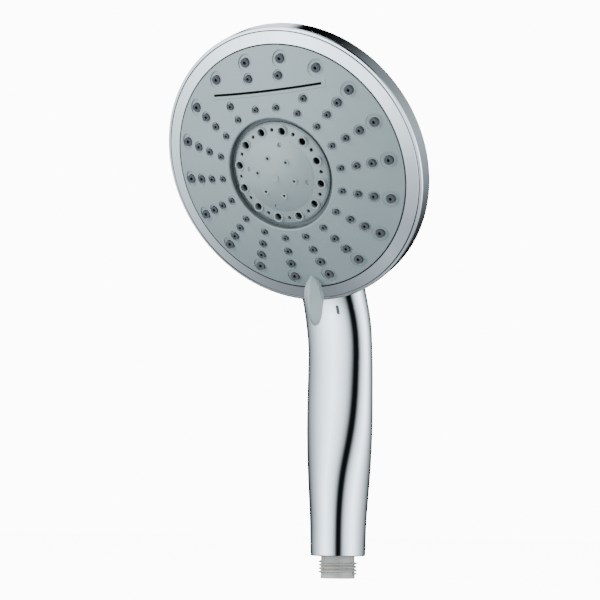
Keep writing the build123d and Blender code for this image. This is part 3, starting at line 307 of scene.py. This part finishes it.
CHROME = chrome("plated_chrome")
BEZEL_CHROME = chrome("bezel_chrome", grooved=True)
MATERIALS = {
    "chrome": CHROME,
    "face_grey": face_plastic("face_grey_plastic", (0.262, 0.302, 0.298), (0.278, 0.318, 0.313), 0.36),
    "lever_grey": plastic("lever_grey_plastic", (0.305, 0.342, 0.335), (0.32, 0.36, 0.352), 0.34),
    "insert_grey": insert_plastic("insert_grey_plastic", (0.285, 0.32, 0.312), (0.30, 0.335, 0.328), 0.34),
    "nozzle_rubber": plastic("nozzle_rubber", (0.03, 0.033, 0.037), (0.04, 0.043, 0.048), 0.40),
    "mark_grey": plastic("mark_grey_paint", (0.10, 0.105, 0.11), (0.12, 0.125, 0.13), 0.5),
    "inlet_plastic": plastic("inlet_plastic", (0.36, 0.335, 0.295), (0.40, 0.372, 0.33), 0.38),
    "inner_plastic": plastic("inner_plastic", (0.30, 0.31, 0.32), (0.34, 0.35, 0.36), 0.45),
    "dark_plastic": plastic("dark_plastic", (0.035, 0.037, 0.04), (0.05, 0.052, 0.055), 0.45),
    "turbine_plastic": plastic("turbine_plastic", (0.55, 0.56, 0.56), (0.62, 0.63, 0.63), 0.4),
    "seal_rubber": plastic("seal_rubber", (0.02, 0.02, 0.021), (0.03, 0.03, 0.031), 0.6),
    "mesh_steel": plastic("mesh_steel", (0.09, 0.088, 0.08), (0.14, 0.136, 0.125), 0.35, metal=1.0),
    "screw_steel": plastic("screw_steel", (0.50, 0.50, 0.50), (0.58, 0.58, 0.58), 0.28, metal=1.0),
    "spring_steel": plastic("spring_steel", (0.52, 0.52, 0.53), (0.60, 0.60, 0.61), 0.25, metal=1.0),
    "washer_plastic": plastic("washer_plastic", (0.70, 0.69, 0.65), (0.76, 0.75, 0.71), 0.4),
}
for part in frame["record"]["subparts"]:
    slots = nodes[part["node"]].data.materials
    slots.clear()
    slots.append(MATERIALS[part["material_slot"]])
nodes["bezel_ring"].data.materials[0] = BEZEL_CHROME
# the lever's mirror image in the bezel would be stronger than the real one
nodes["selector_lever"].visible_glossy = False


# ---- chrome skin of the housing -------------------------------------------

# the housing's own dimensions, in millimetres
HEAD_RADIUS = 75.6
RIM_BACK = -14.6
BOWL_DEPTH = 33.0
BOWL_RADIUS = (HEAD_RADIUS ** 2 + (BOWL_DEPTH + RIM_BACK) ** 2) / (2 * (BOWL_DEPTH + RIM_BACK))
BEND_START = 117.0
BEND_RADIUS = 84.0
SPINE_LINE = -17.6
# height along the spine: half-width, front half-depth, back half-depth
HANDLE_SIZES = [
    (12, 14.75, 14.75, 14.75), (27, 15.2, 15.2, 15.3), (42, 16.1, 15.5, 16.2), (57, 17.4, 15.0, 16.5),
    (72, 18.6, 13.3, 15.3), (87, 19.2, 11.7, 14.1), (102, 19.25, 10.7, 13.5), (117, 19.1, 10.2, 13.1),
]
SKIN_REACH = 0.35
SKIN_AGREEMENT = 0.9
NECK_SIZES = (19.1, 10.0, 13.0)
NECK_TURNS = (9.0, 18.0, 27.2)
HEAD_SIZES = [(-62, 20, 10, 14), (-45, 19.5, 9.5, 14.9), (-27, 16.5, 8, 15), (-8, 9, 5, 14.6)]


def smooth_curve(places, values):
    """A natural cubic spline through the values, as a function of the place."""
    places, values = np.array(places, float), np.array(values, float)
    gaps = np.diff(places)
    count = len(places)
    system, right = np.eye(count), np.zeros((count, values.shape[1]))
    for i in range(1, count - 1):
        system[i, i - 1:i + 2] = gaps[i - 1], 2 * (gaps[i - 1] + gaps[i]), gaps[i]
        right[i] = 6 * ((values[i + 1] - values[i]) / gaps[i] - (values[i] - values[i - 1]) / gaps[i - 1])
    bend = np.linalg.solve(system, right)

    def value(at):
        i = np.clip(np.searchsorted(places, at) - 1, 0, count - 2)
        gap = gaps[i][:, None]
        before, after = (at - places[i])[:, None], (places[i + 1] - at)[:, None]
        return (bend[i] * after ** 3 + bend[i + 1] * before ** 3) / (6 * gap) + (
            (values[i] / gap - bend[i] * gap / 6) * after
            + (values[i + 1] / gap - bend[i + 1] * gap / 6) * before)

    return value


def spine_end():
    """Where the handle's bend ends and its straight run inside the head begins."""
    return Vector((0, -BEND_RADIUS * (1 - cos(TILT)), BEND_START + BEND_RADIUS * sin(TILT)))


def spine_place(points):
    """Each point's distance along the handle's spine and its distance behind it."""
    y, z = points[:, 1], points[:, 2]
    turn = np.arctan2(z - BEND_START, y + BEND_RADIUS)
    behind_arc = np.hypot(z - BEND_START, y + BEND_RADIUS) - BEND_RADIUS
    end = np.array(spine_end())
    past = (points - end) @ np.array(FACE_UP)
    behind_end = (points - end) @ -np.array(FACE_NORMAL)
    in_arc, in_head = z > BEND_START, (z > BEND_START) & (turn > TILT)
    along = np.where(in_arc, BEND_START + BEND_RADIUS * turn, z)
    along = np.where(in_head, BEND_START + BEND_RADIUS * TILT + past, along)
    behind = np.where(in_arc, behind_arc, y)
    return along, np.where(in_head, behind_end, behind)


def handle_curve():
    """The handle's three half-sizes as a function of the place along its spine."""
    start = BEND_START + BEND_RADIUS * TILT
    sizes = [(place, sizes) for place, *sizes in HANDLE_SIZES]
    sizes += [(BEND_START + BEND_RADIUS * radians(turn), NECK_SIZES) for turn in NECK_TURNS]
    for up, *rest in HEAD_SIZES:
        point = HEAD_CENTRE + FACE_UP * up + FACE_NORMAL * SPINE_LINE
        sizes.append((start + (point - spine_end()).dot(FACE_UP), rest))
    return smooth_curve([place for place, _ in sizes], [rest for _, rest in sizes])


def handle_field(points, curve):
    """Below 0 inside the handle's outer surface and above 0 outside it; the next two are alike."""
    along, behind = spine_place(points)
    size = curve(along)
    depth = np.where(behind > 0, size[:, 2], size[:, 1])
    return np.sqrt((points[:, 0] / size[:, 0]) ** 2 + (behind / depth) ** 2) - 1


def bowl_field(points):
    centre = np.array(HEAD_CENTRE + FACE_NORMAL * (BOWL_RADIUS - BOWL_DEPTH))
    return np.linalg.norm(points - centre, axis=1) / BOWL_RADIUS - 1


def rim_field(points):
    out = points - np.array(HEAD_CENTRE)
    out -= np.outer(out @ np.array(FACE_NORMAL), np.array(FACE_NORMAL))
    return np.linalg.norm(out, axis=1) / HEAD_RADIUS - 1


def gradient(field, points, nudge=0.02):
    moves = np.eye(3) * nudge
    return np.stack([(field(points + m) - field(points - m)) / (2 * nudge) for m in moves], axis=1)


def vectors(domain, attribute):
    values = np.zeros(len(domain) * 3, np.float32)
    domain.foreach_get(attribute, values)
    return values.reshape(-1, 3).astype(float)


def numbers(domain, attribute):
    values = np.zeros(len(domain), np.int32)
    domain.foreach_get(attribute, values)
    return values


def chrome_skin():
    """The housing with the true surface normals of its bowl, rim and handle, so that it mirrors cleanly."""
    mesh = nodes["housing_shell"].data.copy()
    mesh.name = "housing_skin"
    skin = bpy.data.objects.new("housing_skin", mesh)
    bpy.context.scene.collection.objects.link(skin)
    points = vectors(mesh.vertices, "co") * 1000
    centres = vectors(mesh.polygons, "center") * 1000
    facing = vectors(mesh.polygons, "normal")
    normals = vectors(mesh.corner_normals, "vector")
    corner_point = numbers(mesh.loops, "vertex_index")
    corner_face = np.repeat(np.arange(len(mesh.polygons)), numbers(mesh.polygons, "loop_total"))
    curve = handle_curve()
    # each face takes the surface that it is nearest to, if it lies on one and faces the same way
    best = np.full(len(centres), SKIN_REACH)
    for field in (lambda p: handle_field(p, curve), bowl_field, rim_field):
        slope = gradient(field, centres)
        length = np.linalg.norm(slope, axis=1)
        gap = np.abs(field(centres)) / length
        agrees = np.sum(slope * facing, axis=1) / length > SKIN_AGREEMENT
        chosen = agrees & (gap < best)
        best[chosen] = gap[chosen]
        true = gradient(field, points)
        true /= np.linalg.norm(true, axis=1)[:, None]
        corners = chosen[corner_face]
        normals[corners] = true[corner_point[corners]]
    mesh.normals_split_custom_set(normals.tolist())
    mesh.materials.clear()
    mesh.materials.append(CHROME)
    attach(skin, "housing")
    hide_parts("housing_shell")


chrome_skin()


# ---- index mark -----------------------------------------------------------

MARK_PLACE = (6.4, 144.0)
MARK_HALF_LENGTH = 2.4
MARK_HALF_WIDTH = 0.85
MARK_PROUD = 0.06
MARK_THICKNESS = 0.6
MARK_END = 0.12
MARK_ROWS = 16
MARK_COLUMNS = 6


def front_of_handle(x, z, curve):
    """The handle's front surface at a place across and up, by bisection."""
    outer, inner = -60.0, -6.0
    for _ in range(40):
        middle = (outer + inner) / 2
        if handle_field(np.array([[x, middle, z]]), curve)[0] > 0:
            outer = middle
        else:
            inner = middle
    return (outer + inner) / 2


def mark_pad():
    """A small dark slot-shaped inlay that follows the handle's front, with rounded ends."""
    curve = handle_curve()
    grid = bmesh.new()
    rows = []
    for i in range(MARK_ROWS + 1):
        rise = MARK_HALF_LENGTH * (2 * i / MARK_ROWS - 1)
        past_end = max(0.0, abs(rise) - (MARK_HALF_LENGTH - MARK_HALF_WIDTH))
        half = max(MARK_END, max(0.0, MARK_HALF_WIDTH ** 2 - past_end ** 2) ** 0.5)
        row = []
        for j in range(MARK_COLUMNS + 1):
            x = MARK_PLACE[0] + half * (2 * j / MARK_COLUMNS - 1)
            z = MARK_PLACE[1] + rise
            y = front_of_handle(x, z, curve) - MARK_PROUD
            row.append(grid.verts.new((x / 1000, y / 1000, z / 1000)))
        rows.append(row)
    faces = [grid.faces.new((a[j], a[j + 1], b[j + 1], b[j]))
             for a, b in zip(rows, rows[1:]) for j in range(MARK_COLUMNS)]
    body = bmesh.ops.extrude_face_region(grid, geom=faces)
    moved = [v for v in body["geom"] if isinstance(v, bmesh.types.BMVert)]
    bmesh.ops.translate(grid, verts=moved, vec=(0, MARK_THICKNESS / 1000, 0))
    bmesh.ops.recalc_face_normals(grid, faces=grid.faces)
    mesh = bpy.data.meshes.new("index_mark_pad")
    grid.to_mesh(mesh)
    mesh.materials.append(MATERIALS["mark_grey"])
    pad = bpy.data.objects.new("index_mark_pad", mesh)
    bpy.context.scene.collection.objects.link(pad)
    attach(pad, "housing")
    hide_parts("index_mark")


mark_pad()


# ---- studio ---------------------------------------------------------------

def stops(tree, value, pairs):
    """Brightness along a value from 0 to 1, through (place, brightness) pairs."""
    ramp = tree.nodes.new("ShaderNodeValToRGB")
    elements = ramp.color_ramp.elements
    ramp.color_ramp.interpolation = "LINEAR"
    scale = max(bright for _, bright in pairs)
    while len(elements) < len(pairs):
        elements.new(0.5)
    for element, (place, bright) in zip(elements, pairs):
        element.position = place
        element.color = (bright / scale, bright / scale, bright / scale, 1)
    tree.links.new(value, ramp.inputs["Fac"])
    return math_node(tree, "MULTIPLY", ramp.outputs["Color"], scale)


def tent_directions(tree):
    """The direction's height, and its angle round from the camera's side as a share of a half turn."""
    where = tree.nodes.new("ShaderNodeTexCoord")
    split = tree.nodes.new("ShaderNodeSeparateXYZ")
    tree.links.new(where.outputs["Generated"], split.inputs["Vector"])
    x, y, z = split.outputs
    flat = math_node(tree, "SQRT", math_node(tree, "ADD", product(tree, x, x), product(tree, y, y)))
    ahead = math_node(tree, "ADD", product(tree, x, sin(CAMERA_AZIMUTH)),
                      product(tree, y, -cos(CAMERA_AZIMUTH)))
    ahead = math_node(tree, "DIVIDE", ahead, math_node(tree, "MAXIMUM", flat, 1e-4))
    return z, math_node(tree, "DIVIDE", math_node(tree, "ARCCOSINE", ahead), radians(180))


def build_world():
    """A soft white tent: pale all round, dark behind, with a slim dark gap on the camera's side."""
    world = bpy.data.worlds.new("studio_tent")
    bpy.context.scene.world = world
    world.use_nodes = True
    tree = world.node_tree
    tree.nodes.clear()
    z, round_share = tent_directions(tree)
    around = stops(tree, round_share, [(angle / 180, TENT_GAIN * bright) for angle, bright in TENT_AROUND])
    upwards = stops(tree, product(tree, math_node(tree, "ADD", z, 1.0), 0.5), TENT_UPWARDS)
    # a soft box high up behind the object, and another overhead
    box = product(tree, fade_in(tree, round_share, *BOX_ROUND), fade_in(tree, z, *BOX_FOOT),
                  fade_out(tree, z, *BOX_HEAD))
    boxes = product(tree, math_node(tree, "MAXIMUM", box, fade_in(tree, z, *OVERHEAD)), BOX_GLOW)
    tent = math_node(tree, "MAXIMUM", product(tree, around, upwards), boxes)
    # the camera itself sees a plain white backdrop
    seen = tree.nodes.new("ShaderNodeLightPath").outputs["Is Camera Ray"]
    strength = math_node(tree, "ADD", product(tree, seen, BACKDROP_GLOW),
                         product(tree, math_node(tree, "SUBTRACT", 1.0, seen), tent))
    tint = tree.nodes.new("ShaderNodeMix")
    tint.data_type = "RGBA"
    tree.links.new(seen, tint.inputs["Factor"])
    tint.inputs[6].default_value = TENT_TINT
    tint.inputs[7].default_value = (1, 1, 1, 1)
    background = tree.nodes.new("ShaderNodeBackground")
    tree.links.new(tint.outputs[2], background.inputs["Color"])
    tree.links.new(strength, background.inputs["Strength"])
    out = tree.nodes.new("ShaderNodeOutputWorld")
    tree.links.new(background.outputs["Background"], out.inputs["Surface"])


def build_camera():
    cam = bpy.data.cameras.new("camera")
    cam.lens, cam.sensor_width = CAMERA_LENS, CAMERA_SENSOR
    cam.clip_start, cam.clip_end = 0.05, 50.0
    obj = bpy.data.objects.new("camera", cam)
    bpy.context.scene.collection.objects.link(obj)
    right, up = CAMERA_RIGHT.normalized(), CAMERA_UP.normalized()
    back = right.cross(up)
    turn = Matrix((right, up, back)).transposed().to_4x4()
    obj.matrix_world = Matrix.Translation(CAMERA_PLACE) @ turn
    bpy.context.scene.camera = obj


def build_floor():
    """A wide pale floor, level with the foot of the inlet."""
    mesh = bpy.data.meshes.new("floor")
    corners = [(x * FLOOR_HALF, y * FLOOR_HALF, 0) for x, y in ((-1, -1), (1, -1), (1, 1), (-1, 1))]
    mesh.from_pydata(corners, [], [(0, 1, 2, 3)])
    floor = bpy.data.objects.new("floor", mesh)
    floor.location.z = cad_box[0].z - FLOOR_DROP
    bpy.context.scene.collection.objects.link(floor)
    mat, tree, shader = start_material("floor_white")
    tone = colour_between(tree, noise(tree, 3), (0.86, 0.86, 0.86), (0.9, 0.9, 0.9))
    tree.links.new(tone, shader.inputs["Base Color"])
    shader.inputs["Roughness"].default_value = 0.9
    shader.inputs["Emission Color"].default_value = (1, 1, 1, 1)
    shader.inputs["Emission Strength"].default_value = FLOOR_GLOW
    mesh.materials.append(mat)
    floor.visible_glossy = False
    floor.visible_diffuse = False


def build_light(name, place, size, power):
    light = bpy.data.lights.new(name, "AREA")
    light.size, light.energy = size, power
    obj = bpy.data.objects.new(name, light)
    bpy.context.scene.collection.objects.link(obj)
    obj.location = place
    obj.rotation_euler = (LIGHT_AIM - Vector(place)).to_track_quat("-Z", "Y").to_euler()
    obj.visible_glossy = False


build_world()
build_floor()
build_light("key", (-0.9, -1.0, 1.3), 0.6, 26)
build_light("fill", (1.2, -1.2, 0.3), 1.2, 6)
build_camera()
